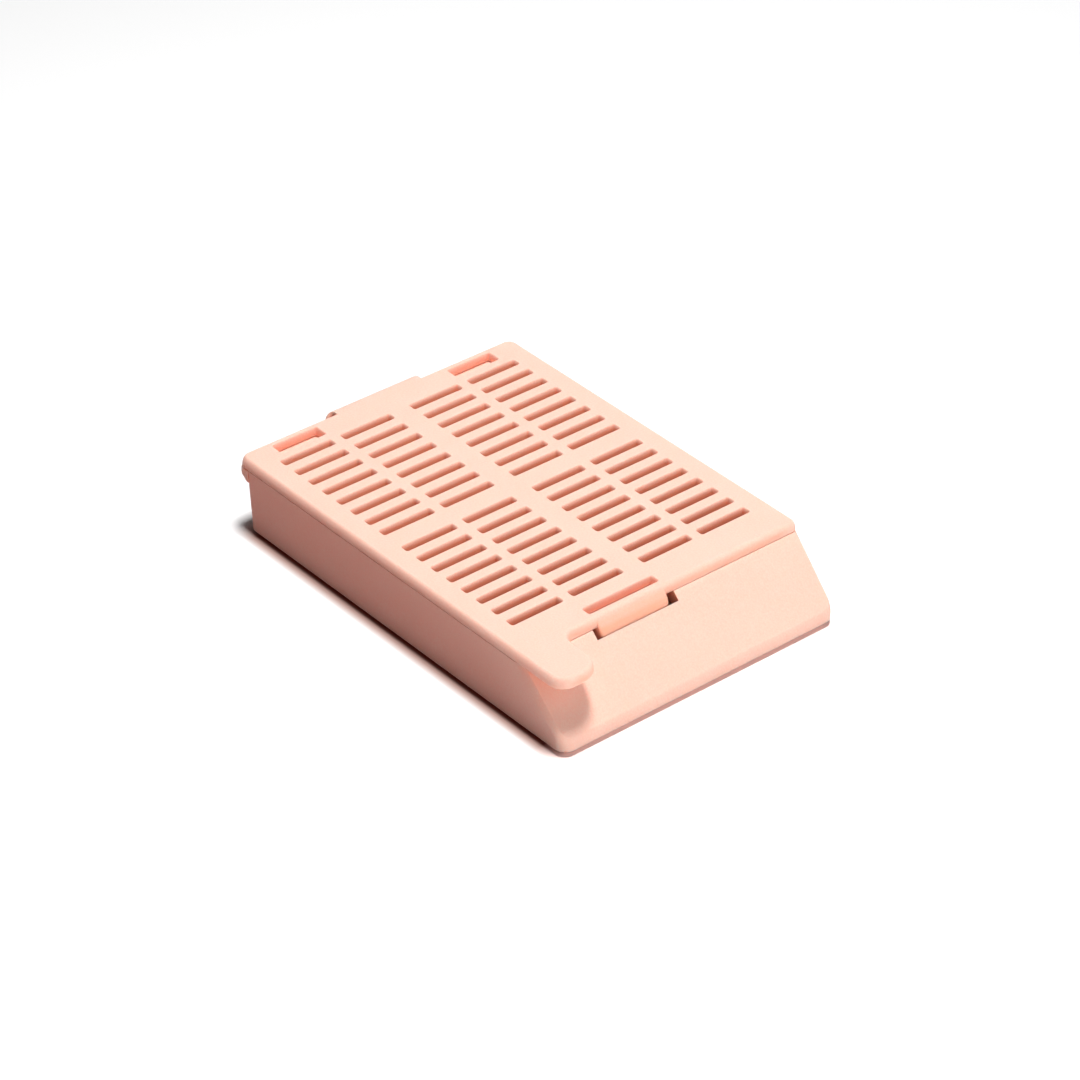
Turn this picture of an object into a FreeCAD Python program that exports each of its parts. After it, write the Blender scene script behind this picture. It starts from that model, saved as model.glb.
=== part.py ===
import FreeCAD, Part
import math
import os

from FreeCAD import Vector

# One-piece moulded tissue cassette: a slotted tray with a sloped writing plate, and a slotted lid
# that folds over it on a moulded strap hinge. Millimetres. +Z is up, the writing plate faces -Y and
# the hinge is at +Y. The origin lies on the resting plane, under the middle of the outline.

# Overall
WIDTH = 28.1  # across the rim and the lid
HEIGHT = 7.0  # resting plane to the closed lid's top

# Lid plate
LID_LENGTH = 35.0
LID_THICKNESS = 0.9
LID_BACK_CORNER = 0.9  # plan radius
LID_FRONT_CORNER = 0.6
LID_TOP_ROUND = 0.45  # round along the top edge
LID_PARTING_ROUND = 0.08  # round along the lower edge, which leaves a fine parting line
RIB_HEIGHT = 0.8  # locating rib under the lid
RIB_WIDTH = 0.55
RIB_INNER_CORNER = 0.5
RIB_CLEARANCE = 0.2  # between the rib and the tray's walls

# Finger tab at the lid's front left corner
TAB_WIDTH = 4.3
TAB_SETBACK = 0.2  # the tab ends this far behind the lip
TAB_OUTER_CORNER = 1.4
TAB_INNER_CORNER = 2.0
TAB_ROOT_ROUND = 0.8

# Slot grid, the same in the lid and in the tray's floor. It fills the plate inside its borders.
SLOT_WIDTH = 0.8
SLOT_DRAFT_DEG = 10.0  # the lid's slots narrow downwards
SLOT_EDGE_ROUND = 0.15  # along their upper edges
ROWS_PER_BLOCK = 8
BLOCK_GAP = 2.8  # between the facing rows of the two blocks, centre to centre
CENTRE_BAR = 2.15  # uncut bar between the two middle columns
COLUMN_BAR = 1.1  # bar between the two columns of one side
SIDE_BORDER = 2.1  # plain border from the lid's side to the slots
FRONT_BORDER = 3.3  # from the lid's front edge to the first row
BACK_BORDER = 2.9  # from the last row to the lid's back edge

# Windows in the lid's back corners
WINDOW_LENGTH = 4.3
WINDOW_WIDTH = 1.2
WINDOW_INSET_X = 2.95  # from the lid's side to the window
WINDOW_BAR = 0.75  # bar left behind the window

# Latch: a tongue on a springy bar of the lid, in a notch of the writing plate's top
LATCH_CENTRE_X = -3.15
TONGUE_WIDTH = 6.8
TONGUE_DEPTH = 2.2  # below the lid's top
TONGUE_NOSE_DROP = 1.4  # height of the ramped front face
TONGUE_NOSE_REACH = 0.55  # nose ahead of the lid's front edge
TONGUE_THICKNESS = 0.7  # at the lower end
TONGUE_ROOT_ROUND = 0.1
TONGUE_NOSE_ROUND = 0.12
TONGUE_TIP_ROUND = 0.15
SPRING_SLOT_WIDTH = 0.75  # frees the springy bar from the lid
SPRING_BAR = 0.9
NOTCH_SIDE_CLEARANCE = 0.45
NOTCH_RIGHT_EXTRA = 0.4  # the notch runs on a little past the tongue on the right
NOTCH_FRONT_CLEARANCE = 0.05
NOTCH_BACK_CLEARANCE = 0.3

# Tray
WALL = 1.25  # at the rim
WALL_DRAFT_DEG = 2.0
FLOOR = 1.0
FOOT_HEIGHT = 0.5  # recessed foot that the tray stands on
FOOT_INSET = 0.7
CAVITY_CORNER = 1.0
CAVITY_FLOOR_ROUND = 0.5
GRID_MARGIN_FRONT = 0.8  # front row of slots to the cavity's front wall
FRONT_WALL = 1.1
BACK_CORNER = 0.9

# Writing plate
SLOPE_DEG = 45.0
PLATE = 1.1  # thickness of the sloped plate
LAND = 1.0  # thickness of the flat land above it
LEDGE = 0.05  # land left bare ahead of the lid
LIP_HEIGHT = 0.85  # upright lip at the plate's lower edge
LIP_THICKNESS = 1.2
LIP_CORNER = 1.0
PLATE_EDGE_ROUND = 0.75
PLATE_EDGE_TRIM = 0.1  # then taken off the writing face, which leaves a fine crease beside the round

# Rear flange and strap hinge
FLANGE_DEPTH = 0.85  # beyond the back wall
FLANGE_PROUD = 0.15  # beyond the lid's back edge
FLANGE_HEIGHT = 1.1
FLANGE_TOP_ROUND = 0.25
FLANGE_LOWER_ROUND = 0.5
FLANGE_FILLET = 0.35
STRAP_THICKNESS = 0.3
STRAP_HALF_LID = 4.3  # half width where it leaves the lid
STRAP_HALF_BASE = 5.0  # half width where it leaves the tray
STRAP_STEP = 0.05  # strap lies this far below the lid's top
ROOT_HEIGHT = 0.65  # thickened root on each side of the strap

CUT_PAST = 1.0  # cutters run on this far beyond what they cut

# Heights. The strap lies flush with the rim at its lower end and just under the lid's top at its upper.
rim_z = HEIGHT - LID_THICKNESS
lip_z = FOOT_HEIGHT + LIP_HEIGHT
fold_outer = (LID_THICKNESS - STRAP_STEP + STRAP_THICKNESS) / 2
fold_inner = fold_outer - STRAP_THICKNESS
fold_z = HEIGHT - STRAP_STEP - fold_outer

# Stations along Y, from the lip at the front to the fold of the strap at the back
slope_run = (rim_z - lip_z) / math.tan(math.radians(SLOPE_DEG))
overall_length = slope_run + LEDGE + LID_LENGTH + FLANGE_PROUD + fold_outer
front_y = -overall_length / 2
slope_top_y = front_y + slope_run
lid_front_y = slope_top_y + LEDGE
lid_back_y = lid_front_y + LID_LENGTH
flange_y = lid_back_y + FLANGE_PROUD
wall_back_y = flange_y - FLANGE_DEPTH
cavity_back_y = wall_back_y - WALL

# Stations along X
half_width = WIDTH / 2
cavity_half = half_width - WALL
draft_inset = (rim_z - FOOT_HEIGHT) * math.tan(math.radians(WALL_DRAFT_DEG))

# Slot grid
slot_length = (half_width - SIDE_BORDER - COLUMN_BAR - CENTRE_BAR / 2) / 2
grid_front_y = lid_front_y + FRONT_BORDER
grid_back_y = lid_back_y - BACK_BORDER
grid_y = (grid_front_y + grid_back_y) / 2
slot_pitch = (grid_back_y - grid_front_y - SLOT_WIDTH - BLOCK_GAP) / (2 * (ROWS_PER_BLOCK - 1))
cavity_front_y = grid_front_y - GRID_MARGIN_FRONT
front_wall_y = cavity_front_y - FRONT_WALL

# Latch
tongue_left_x = LATCH_CENTRE_X - TONGUE_WIDTH / 2
tongue_right_x = LATCH_CENTRE_X + TONGUE_WIDTH / 2
tongue_back_y = lid_front_y + TONGUE_THICKNESS


def plan(u, v):
    """A point of a plan outline."""
    return Vector(u, v, 0)


def side(u, v):
    """A point of a side profile, seen along X."""
    return Vector(0, u, v)


def outline(corners, place):
    """Closed wire through corners (u, v, radius), each rounded by its own radius."""
    edges, first, last = [], None, None
    for i, (u, v, radius) in enumerate(corners):
        here = Vector(u, v, 0)
        back = (Vector(*corners[i - 1][:2], 0) - here).normalize()
        ahead = (Vector(*corners[(i + 1) % len(corners)][:2], 0) - here).normalize()
        half_angle = back.getAngle(ahead) / 2
        start = here + back * (radius / math.tan(half_angle))
        end = here + ahead * (radius / math.tan(half_angle))
        if last and last.distanceToPoint(start) > 1e-6:
            edges.append(Part.LineSegment(place(last.x, last.y), place(start.x, start.y)).toShape())
        if radius:
            middle = here + (back + ahead).normalize() * (radius / math.sin(half_angle) - radius)
            points = [place(p.x, p.y) for p in (start, middle, end)]
            edges.append(Part.Arc(*points).toShape())
        first = first or start
        last = end
    edges.append(Part.LineSegment(place(last.x, last.y), place(first.x, first.y)).toShape())
    return Part.Wire(edges)


def plan_prism(corners, low, high):
    """Upright prism on a plan outline."""
    wire = outline(corners, plan)
    wire.translate(Vector(0, 0, low))
    return Part.Face(wire).extrude(Vector(0, 0, high - low))


def side_prism(corners, left, right):
    """Prism across X on a side profile."""
    wire = outline(corners, side)
    wire.translate(Vector(left, 0, 0))
    return Part.Face(wire).extrude(Vector(right - left, 0, 0))


def box(left, right, front, back, low, high):
    """Plain block between six planes."""
    return Part.makeBox(right - left, back - front, high - low, Vector(left, front, low))


def rectangle(half, front, back, front_radius, back_radius):
    """Corners of a rectangle centred on X, with its own radius at the front and at the back."""
    return [
        (-half, front, front_radius),
        (half, front, front_radius),
        (half, back, back_radius),
        (-half, back, back_radius),
    ]


def edges_at(shape, test):
    """Edges of a shape of which both ends and the middle pass a test of their point."""
    found = []
    for edge in shape.Edges:
        middle = edge.valueAt((edge.FirstParameter + edge.LastParameter) / 2)
        points = [vertex.Point for vertex in edge.Vertexes] + [middle]
        if all(test(p) for p in points):
            found.append(edge)
    return found


def slot_profile(y, low, high, drafted):
    """Section of a slot's cutter, which narrows through the lid's plate if it is drafted."""
    half = SLOT_WIDTH / 2
    if not drafted:
        return [(y - half, low, 0), (y + half, low, 0), (y + half, high, 0), (y - half, high, 0)]
    narrow = half - LID_THICKNESS * math.tan(math.radians(SLOT_DRAFT_DEG))
    return [
        (y - narrow, low, 0),
        (y + narrow, low, 0),
        (y + narrow, rim_z, 0),
        (y + half, HEIGHT, 0),
        (y + half, high, 0),
        (y - half, high, 0),
        (y - half, HEIGHT, 0),
        (y - narrow, rim_z, 0),
    ]


def slot_cutters(low, high, drafted):
    """One cutter for every slot of the grid."""
    inner_x = CENTRE_BAR / 2
    outer_x = inner_x + slot_length + COLUMN_BAR
    cutters = []
    for block in (-1, 1):
        for row in range(ROWS_PER_BLOCK):
            y = grid_y + block * (BLOCK_GAP / 2 + row * slot_pitch)
            for left in (-outer_x - slot_length, -inner_x - slot_length, inner_x, outer_x):
                cutters.append(side_prism(slot_profile(y, low, high, drafted), left, left + slot_length))
    return Part.makeCompound(cutters)


def lid_plate():
    """Lid plate and finger tab in one outline, rounded along the top and at the parting edge."""
    tab_right_x = -half_width + TAB_WIDTH
    tab_front_y = front_y + TAB_SETBACK
    corners = [
        (-half_width, lid_back_y, LID_BACK_CORNER),
        (-half_width, tab_front_y, TAB_OUTER_CORNER),
        (tab_right_x, tab_front_y, TAB_INNER_CORNER),
        (tab_right_x, lid_front_y, TAB_ROOT_ROUND),
        (half_width, lid_front_y, LID_FRONT_CORNER),
        (half_width, lid_back_y, LID_BACK_CORNER),
    ]
    plate = plan_prism(corners, rim_z, HEIGHT)
    plate = plate.makeFillet(LID_TOP_ROUND, edges_at(plate, lambda p: abs(p.z - HEIGHT) < 1e-6))
    return plate.makeFillet(LID_PARTING_ROUND, edges_at(plate, lambda p: abs(p.z - rim_z) < 1e-6))


def locating_rib():
    """Rib under the lid that drops inside the tray's walls."""
    outer = rectangle(
        cavity_half - RIB_CLEARANCE,
        cavity_front_y + RIB_CLEARANCE,
        cavity_back_y - RIB_CLEARANCE,
        CAVITY_CORNER,
        CAVITY_CORNER,
    )
    inset = RIB_CLEARANCE + RIB_WIDTH
    inner = rectangle(
        cavity_half - inset,
        cavity_front_y + inset,
        cavity_back_y - inset,
        RIB_INNER_CORNER,
        RIB_INNER_CORNER,
    )
    low = rim_z - RIB_HEIGHT
    ring = plan_prism(outer, low, rim_z + LID_THICKNESS / 2)
    return ring.cut(plan_prism(inner, low, rim_z))


def latch_tongue():
    """Wedge under the lid's front edge. Its ramped nose fills the notch's mouth."""
    nose_y = lid_front_y - TONGUE_NOSE_REACH
    profile = [
        (lid_front_y + LID_TOP_ROUND, HEIGHT - LID_TOP_ROUND, 0),
        (lid_front_y, HEIGHT - LID_TOP_ROUND, TONGUE_ROOT_ROUND),
        (nose_y, HEIGHT - TONGUE_NOSE_DROP, TONGUE_NOSE_ROUND),
        (lid_front_y, HEIGHT - TONGUE_DEPTH, TONGUE_TIP_ROUND),
        (tongue_back_y, HEIGHT - TONGUE_DEPTH, TONGUE_TIP_ROUND),
        (tongue_back_y, HEIGHT - LID_TOP_ROUND, 0),
    ]
    return side_prism(profile, tongue_left_x, tongue_right_x)


def make_lid():
    """Slotted lid with its rib, latch tongue, rear windows and the root of the strap."""
    lid = lid_plate().fuse([locating_rib(), latch_tongue()])
    root = box(
        -STRAP_HALF_LID, STRAP_HALF_LID, lid_back_y - WINDOW_BAR, flange_y, HEIGHT - ROOT_HEIGHT, HEIGHT
    )
    lid = lid.fuse(root)
    below, above = rim_z - RIB_HEIGHT - CUT_PAST, HEIGHT + CUT_PAST
    spring_y = lid_front_y + SPRING_BAR
    cuts = [
        slot_cutters(below, above, True),
        box(tongue_left_x, tongue_right_x, spring_y, spring_y + SPRING_SLOT_WIDTH, below, above),
    ]
    window_back_y = lid_back_y - WINDOW_BAR
    for left in (-half_width + WINDOW_INSET_X, half_width - WINDOW_INSET_X - WINDOW_LENGTH):
        cuts.append(
            box(left, left + WINDOW_LENGTH, window_back_y - WINDOW_WIDTH, window_back_y, below, above)
        )
    lid = lid.cut(cuts).removeSplitter()

    def on_slot_edge(p):
        across = abs(p.x) < half_width - SIDE_BORDER + SLOT_EDGE_ROUND
        along = grid_front_y - SLOT_EDGE_ROUND < p.y < grid_back_y + SLOT_EDGE_ROUND
        return abs(p.z - HEIGHT) < 1e-6 and across and along

    return lid.makeFillet(SLOT_EDGE_ROUND, edges_at(lid, on_slot_edge))


def above_slope(rise):
    """Wedge of everything above the writing slope, raised by a given height."""
    away = CUT_PAST / math.tan(math.radians(SLOPE_DEG))
    wedge = [
        (front_y - away, lip_z + rise - CUT_PAST, 0),
        (slope_top_y + away, rim_z + rise + CUT_PAST, 0),
        (front_y - away, rim_z + rise + CUT_PAST, 0),
    ]
    return side_prism(wedge, -WIDTH, WIDTH)


def tray_block():
    """Outside of the tray: drafted walls, the writing slope and its upright lip."""
    rim = outline(rectangle(half_width, front_y, wall_back_y, LIP_CORNER, BACK_CORNER), plan)
    rim.translate(Vector(0, 0, rim_z))
    foot = outline(
        rectangle(
            half_width - draft_inset, front_y, wall_back_y - draft_inset, LIP_CORNER, BACK_CORNER
        ),
        plan,
    )
    foot.translate(Vector(0, 0, FOOT_HEIGHT))
    block = Part.makeLoft([foot, rim], True, True)
    rise = PLATE_EDGE_TRIM / math.cos(math.radians(SLOPE_DEG))
    block = block.cut(above_slope(rise))

    def on_rough_slope(p):
        slope_z = lip_z + rise + (p.y - front_y) * math.tan(math.radians(SLOPE_DEG))
        return abs(p.z - slope_z) < 1e-4

    edges = [edge for edge in edges_at(block, on_rough_slope) if edge.CenterOfMass.z < rim_z - rise]
    return block.makeFillet(PLATE_EDGE_ROUND, edges).cut(above_slope(0))


def foot_block():
    """Recessed foot that leaves a shadow line round the tray's lower edge."""
    half = half_width - draft_inset - FOOT_INSET
    back = wall_back_y - draft_inset - FOOT_INSET
    corners = rectangle(
        half, front_y + FOOT_INSET, back, LIP_CORNER - FOOT_INSET, BACK_CORNER - FOOT_INSET
    )
    return plan_prism(corners, 0, FLOOR)


def rear_flange():
    """Rounded flange along the top of the back wall, with the strap's root in its middle."""
    low = rim_z - FLANGE_HEIGHT
    profile = [
        (wall_back_y - WALL / 2, rim_z, 0),
        (flange_y, rim_z, FLANGE_TOP_ROUND),
        (flange_y, low, FLANGE_LOWER_ROUND),
        (wall_back_y, low, FLANGE_FILLET),
        (wall_back_y - draft_inset / 2, low - 2 * FLANGE_FILLET, 0),
        (wall_back_y - WALL / 2, low - 2 * FLANGE_FILLET, 0),
    ]
    flange = side_prism(profile, -half_width, half_width)
    ends = plan_prism(
        rectangle(half_width, front_y, flange_y, 0, BACK_CORNER), 0, HEIGHT
    )
    root = box(
        -STRAP_HALF_BASE, STRAP_HALF_BASE, wall_back_y, flange_y, rim_z - ROOT_HEIGHT, rim_z
    )
    return flange.common(ends).fuse(root)


def cavity():
    """Specimen space of the tray, with rounded corners down to the floor."""
    corners = rectangle(
        cavity_half, cavity_front_y, cavity_back_y, CAVITY_CORNER, CAVITY_CORNER
    )
    space = plan_prism(corners, FLOOR, HEIGHT)
    return space.makeFillet(CAVITY_FLOOR_ROUND, edges_at(space, lambda p: abs(p.z - FLOOR) < 1e-6))


def plate_hollow():
    """Space under the writing plate, open to below."""
    tangent = math.tan(math.radians(SLOPE_DEG))
    offset = PLATE / math.sin(math.radians(SLOPE_DEG))
    top_z = rim_z - LAND
    lip_back_y = front_y + LIP_THICKNESS
    profile = [
        (front_wall_y, -CUT_PAST, 0),
        (front_wall_y, top_z, 0),
        (slope_top_y - LAND / tangent + offset, top_z, 0),
        (lip_back_y, lip_z + (LIP_THICKNESS - offset) * tangent, 0),
        (lip_back_y, -CUT_PAST, 0),
    ]
    return side_prism(profile, -cavity_half, cavity_half)


def latch_notch():
    """Mouth in the land and the top of the slope that takes the tongue."""
    left = tongue_left_x - NOTCH_SIDE_CLEARANCE
    right = tongue_right_x + NOTCH_SIDE_CLEARANCE + NOTCH_RIGHT_EXTRA
    front = lid_front_y - TONGUE_NOSE_REACH - NOTCH_FRONT_CLEARANCE
    return box(left, right, front, tongue_back_y + NOTCH_BACK_CLEARANCE, rim_z - LAND - PLATE, HEIGHT)


def make_base():
    """Slotted tray with its writing plate, foot and rear flange."""
    base = tray_block().fuse([foot_block(), rear_flange()])
    return base.cut(
        [cavity(), plate_hollow(), latch_notch(), slot_cutters(-CUT_PAST, FLOOR + CUT_PAST, False)]
    ).removeSplitter()


def make_strap():
    """Thin web that folds from the tray's flange round to the lid, wider at the tray."""
    centre = Vector(-STRAP_HALF_BASE, flange_y, fold_z)
    along = Vector(1, 0, 0)
    ring = Part.makeCylinder(fold_outer, 2 * STRAP_HALF_BASE, centre, along)
    ring = ring.cut(Part.makeCylinder(fold_inner, 2 * STRAP_HALF_BASE, centre, along))
    low, high = fold_z - fold_outer, fold_z + fold_outer
    flare = Part.makePolygon(
        [
            Vector(-STRAP_HALF_BASE, flange_y, low),
            Vector(STRAP_HALF_BASE, flange_y, low),
            Vector(STRAP_HALF_LID, flange_y, high),
            Vector(-STRAP_HALF_LID, flange_y, high),
            Vector(-STRAP_HALF_BASE, flange_y, low),
        ]
    )
    return ring.common(Part.Face(flare).extrude(Vector(0, 2 * fold_outer, 0)))


def save(shape, name):
    """Writes one node and prints what it holds."""
    solid = shape.Solids[0] if len(shape.Solids) == 1 else shape
    solid.exportStep("parts/" + name + ".step")
    bounds = solid.optimalBoundingBox()
    print(
        f"{name}: {len(shape.Solids)} solid, valid {shape.isValid()}, {shape.Volume:.1f} mm3, "
        f"X {bounds.XMin:.2f} to {bounds.XMax:.2f}, Y {bounds.YMin:.2f} to {bounds.YMax:.2f}, "
        f"Z {bounds.ZMin:.2f} to {bounds.ZMax:.2f}"
    )


os.makedirs("parts", exist_ok=True)
save(make_base(), "base")
save(make_lid(), "lid")
save(make_strap(), "strap_hinge")
print(f"hinge axis: Y {flange_y + (fold_outer + fold_inner) / 2:.3f}, Z {fold_z:.3f}")
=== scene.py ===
# %% [markdown]
# # A tissue cassette
# A laboratory puts a tissue sample in this small slotted tray, folds the lid over and writes the
# sample's number on the sloped front. The whole thing is one moulding of pink acetal, a hard, waxy
# plastic that lets a little light through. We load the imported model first: it fixes every size, and each
# piece that we model here takes its place from it.

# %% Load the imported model
import math

import bmesh
import bpy
from mathutils import Matrix, Vector


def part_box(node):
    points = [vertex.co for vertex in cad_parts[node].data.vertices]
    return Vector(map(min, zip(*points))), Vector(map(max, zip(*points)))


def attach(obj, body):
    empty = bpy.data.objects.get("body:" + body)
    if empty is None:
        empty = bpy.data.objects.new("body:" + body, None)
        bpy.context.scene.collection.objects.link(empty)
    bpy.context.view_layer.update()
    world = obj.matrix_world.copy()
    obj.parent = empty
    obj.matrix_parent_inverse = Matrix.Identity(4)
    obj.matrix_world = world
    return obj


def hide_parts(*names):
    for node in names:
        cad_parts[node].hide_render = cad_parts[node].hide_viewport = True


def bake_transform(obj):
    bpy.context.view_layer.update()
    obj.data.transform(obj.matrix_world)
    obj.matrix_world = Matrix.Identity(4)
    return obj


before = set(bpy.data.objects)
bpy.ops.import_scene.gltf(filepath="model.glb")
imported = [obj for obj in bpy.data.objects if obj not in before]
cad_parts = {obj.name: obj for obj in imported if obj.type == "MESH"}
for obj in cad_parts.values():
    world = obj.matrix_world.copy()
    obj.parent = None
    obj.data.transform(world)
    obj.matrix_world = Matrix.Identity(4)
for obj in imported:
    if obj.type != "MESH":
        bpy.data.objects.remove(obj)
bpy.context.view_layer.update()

# %% [markdown]
# ## The driving sizes
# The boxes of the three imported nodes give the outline: the tray, the lid and the strap that joins them.
# The rest are the moulding's own sizes, such as a wall or a slot, in millimetres. Everything else is
# worked out from these, so the lid always fits the tray.

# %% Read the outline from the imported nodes
MM = 0.001
base_low, base_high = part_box("base")
lid_low, lid_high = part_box("lid")
strap_low, strap_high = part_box("strap_hinge")

half_width = base_high[0]
front = base_low[1]
flange_back = base_high[1]
rim = base_high[2]
top = lid_high[2]
tab_front = lid_low[1]
print(f"half width {half_width / MM:.2f}, rim {rim / MM:.2f}, top {top / MM:.2f} mm")

# %% Name the sizes of the tray
WALL = 1.25 * MM
FLOOR = 1.0 * MM
FOOT_HEIGHT = 0.5 * MM
FOOT_INSET = 0.7 * MM
WALL_DRAFT = math.radians(2.0)
SLOPE = math.radians(45.0)
LIP_HEIGHT = 0.85 * MM
LIP_THICKNESS = 1.2 * MM
LEDGE = 0.05 * MM
PLATE = 1.1 * MM
LAND = 1.0 * MM
FRONT_WALL = 1.1 * MM
FLANGE_DEPTH = 0.85 * MM
FLANGE_PROUD = 0.15 * MM
FLANGE_HEIGHT = 1.1 * MM

lip_top = FOOT_HEIGHT + LIP_HEIGHT
slope_top = front + (rim - lip_top) / math.tan(SLOPE)
draft = (rim - FOOT_HEIGHT) * math.tan(WALL_DRAFT)
wall_back = flange_back - FLANGE_DEPTH
cavity_half = half_width - WALL
cavity_back = wall_back - WALL
print(f"the slope starts {(slope_top - front) / MM:.2f} mm behind the lip")

# %% Name the sizes of the slot grid, which the lid and the floor share
SLOT_WIDTH = 0.68 * MM
ROWS = 8
BLOCK_GAP = 2.8 * MM
CENTRE_BAR = 2.15 * MM
COLUMN_BAR = 1.1 * MM
SIDE_BORDER = 2.1 * MM
FRONT_BORDER = 3.42 * MM
BACK_BORDER = 2.9 * MM
GRID_MARGIN = 0.92 * MM

lid_front = slope_top + LEDGE
lid_back = flange_back - FLANGE_PROUD
grid_front = lid_front + FRONT_BORDER
grid_back = lid_back - BACK_BORDER
grid_middle = (grid_front + grid_back) / 2
slot_length = (half_width - SIDE_BORDER - COLUMN_BAR - CENTRE_BAR / 2) / 2
pitch = (grid_back - grid_front - SLOT_WIDTH - BLOCK_GAP) / (2 * (ROWS - 1))
cavity_front = grid_front - GRID_MARGIN
print(f"slots {slot_length / MM:.2f} mm long, one every {pitch / MM:.2f} mm")

# %% List the slots as (left, right, front, back)
inner = CENTRE_BAR / 2
outer = inner + slot_length + COLUMN_BAR
columns = [(x, x + slot_length) for x in (-outer - slot_length, -inner - slot_length, inner, outer)]
rows = []
for side in (-1, 1):
    for row in range(ROWS):
        middle = grid_middle + side * (BLOCK_GAP / 2 + row * pitch)
        rows.append((middle - SLOT_WIDTH / 2, middle + SLOT_WIDTH / 2))
slots = [column + row for column in columns for row in rows]
print(len(slots), "slots")

# %% [markdown]
# ## Tools for modelling by hand
# In Blender's window you would select by clicking. Here a small function selects in code, by the place
# of a face or an edge, and the same operators as in the window do the shaping: bisect, extrude, inset,
# bevel and bridge. An operator acts on all that is selected, so each helper first clears the selection.

# %% Select one piece, and edit it
NEAR = 0.002 * MM


def only(piece):
    """Leaves edit mode and selects this piece alone."""
    if bpy.context.object and bpy.context.object.mode != "OBJECT":
        bpy.ops.object.mode_set(mode="OBJECT")
    bpy.ops.object.select_all(action="DESELECT")
    piece.select_set(True)
    bpy.context.view_layer.objects.active = piece


def edit(piece):
    """Selects this piece alone and opens it in edit mode."""
    only(piece)
    bpy.ops.object.mode_set(mode="EDIT")


# %% Select faces and edges by their place
def pick(piece, kind, test):
    """Selects the faces or edges that pass a test, in edit mode, and returns how many there are."""
    bpy.ops.mesh.select_mode(type=kind)
    bpy.ops.mesh.select_all(action="DESELECT")
    mesh = bmesh.from_edit_mesh(piece.data)
    chosen = [part for part in (mesh.faces if kind == "FACE" else mesh.edges) if test(part)]
    for part in chosen:
        part.select_set(True)
    bmesh.update_edit_mesh(piece.data)
    return len(chosen)


def centre(face):
    return face.calc_center_median()


def middle_of(edge):
    return (edge.verts[0].co + edge.verts[1].co) / 2


def flat_at(edge, z):
    """True if both ends of an edge lie at this height."""
    return all(abs(corner.co.z - z) < NEAR for corner in edge.verts)


def upright(edge):
    """True if an edge runs straight up."""
    run = edge.verts[0].co - edge.verts[1].co
    return math.hypot(run.x, run.y) < NEAR < abs(run.z)


def at(edge, x, y):
    """True if an upright edge stands at this place."""
    spot = middle_of(edge)
    return upright(edge) and abs(spot.x - x) < NEAR and abs(spot.y - y) < NEAR


# %% Cut, round and join
def cut(piece, point, normal, where=None, **keep):
    """Bisects the faces that pass a test, or all of them."""
    pick(piece, "FACE", where or (lambda face: True))
    bpy.ops.mesh.bisect(plane_co=point, plane_no=normal, threshold=NEAR / 10, **keep)


def round_edges(piece, radius, segments, test):
    """Bevels the edges that pass a test into a round."""
    count = pick(piece, "EDGE", test)
    if count:
        bpy.ops.mesh.bevel(offset=radius, segments=segments, affect="EDGES", clamp_overlap=False)
    return count


def combine(piece, tool, operation):
    """Adds a tool's shape to a piece or takes it away, and removes the tool."""
    only(piece)
    change = piece.modifiers.new(operation, "BOOLEAN")
    change.operation = operation
    change.solver = "EXACT"
    change.object = tool
    bpy.ops.object.modifier_apply(modifier=change.name)
    print(f"{piece.name} {operation.lower()} {tool.name}: {len(piece.data.polygons)} faces")
    bpy.data.objects.remove(tool)


# %% Say how many segments a round gets
LARGE_ROUND = 8
MEDIUM_ROUND = 6
SOFT_EDGE = 5
SMALL_ROUND = 4
TINY_ROUND = 3
FAINT_STEP = 2
print("the largest rounds have", LARGE_ROUND, "segments")

# %% Add a block that fills the space between two corners
def block(name, low, high):
    bpy.ops.object.select_all(action="DESELECT")
    bpy.ops.mesh.primitive_cube_add(size=1, location=[(a + b) / 2 for a, b in zip(low, high)])
    piece = bpy.context.object
    piece.name = name
    piece.scale = [b - a for a, b in zip(low, high)]
    bpy.ops.object.transform_apply(location=True, rotation=True, scale=True)
    return piece


# %% Finish a piece's mesh and shading
SOFT_ANGLE = math.radians(40.0)


def finish_mesh(piece):
    """Merges doubles, points the faces outwards and shades the rounds smooth and the flats flat."""
    edit(piece)
    bpy.ops.mesh.select_all(action="SELECT")
    bpy.ops.mesh.remove_doubles(threshold=NEAR / 10)
    bpy.ops.mesh.normals_make_consistent(inside=False)
    only(piece)
    bpy.ops.object.shade_smooth_by_angle(angle=SOFT_ANGLE)
    weighted = piece.modifiers.new("weighted", "WEIGHTED_NORMAL")
    weighted.keep_sharp = True
    bpy.ops.object.modifier_apply(modifier=weighted.name)
    print(piece.name, len(piece.data.polygons), "faces")


# %% [markdown]
# ## The lid
# The lid is a thin plate full of slots. You could cut the slots with a Boolean, but that leaves ragged
# faces between them, and a bevel on their edges then goes wrong. So we start from a flat plane, bisect
# it along every slot line as one would rule lines on card, delete the cells that are slots and only then
# extrude the sheet to its thickness. Each slot ends up with four clean walls.
#
# Every row gets a third line, through its middle. In the end only these middle lines stay and join the
# slots of a row end to end, so nothing meets the corners of the slots and they can be rounded.

# %% Name the sizes of the lid
LID_TOP_ROUND = 0.4 * MM
LID_ROUND_DEPTH = 0.76 * MM
PARTING_ROUND = 0.12 * MM
LID_BACK_CORNER = 0.9 * MM
LID_FRONT_CORNER = 0.6 * MM
TAB_WIDTH = 4.3 * MM
TAB_OUTER_CORNER = 1.4 * MM
TAB_INNER_CORNER = 2.0 * MM
TAB_ROOT_ROUND = 0.8 * MM
tab_right = -half_width + TAB_WIDTH
print(f"the tab reaches {(lid_front - tab_front) / MM:.2f} mm out over the slope")

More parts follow.
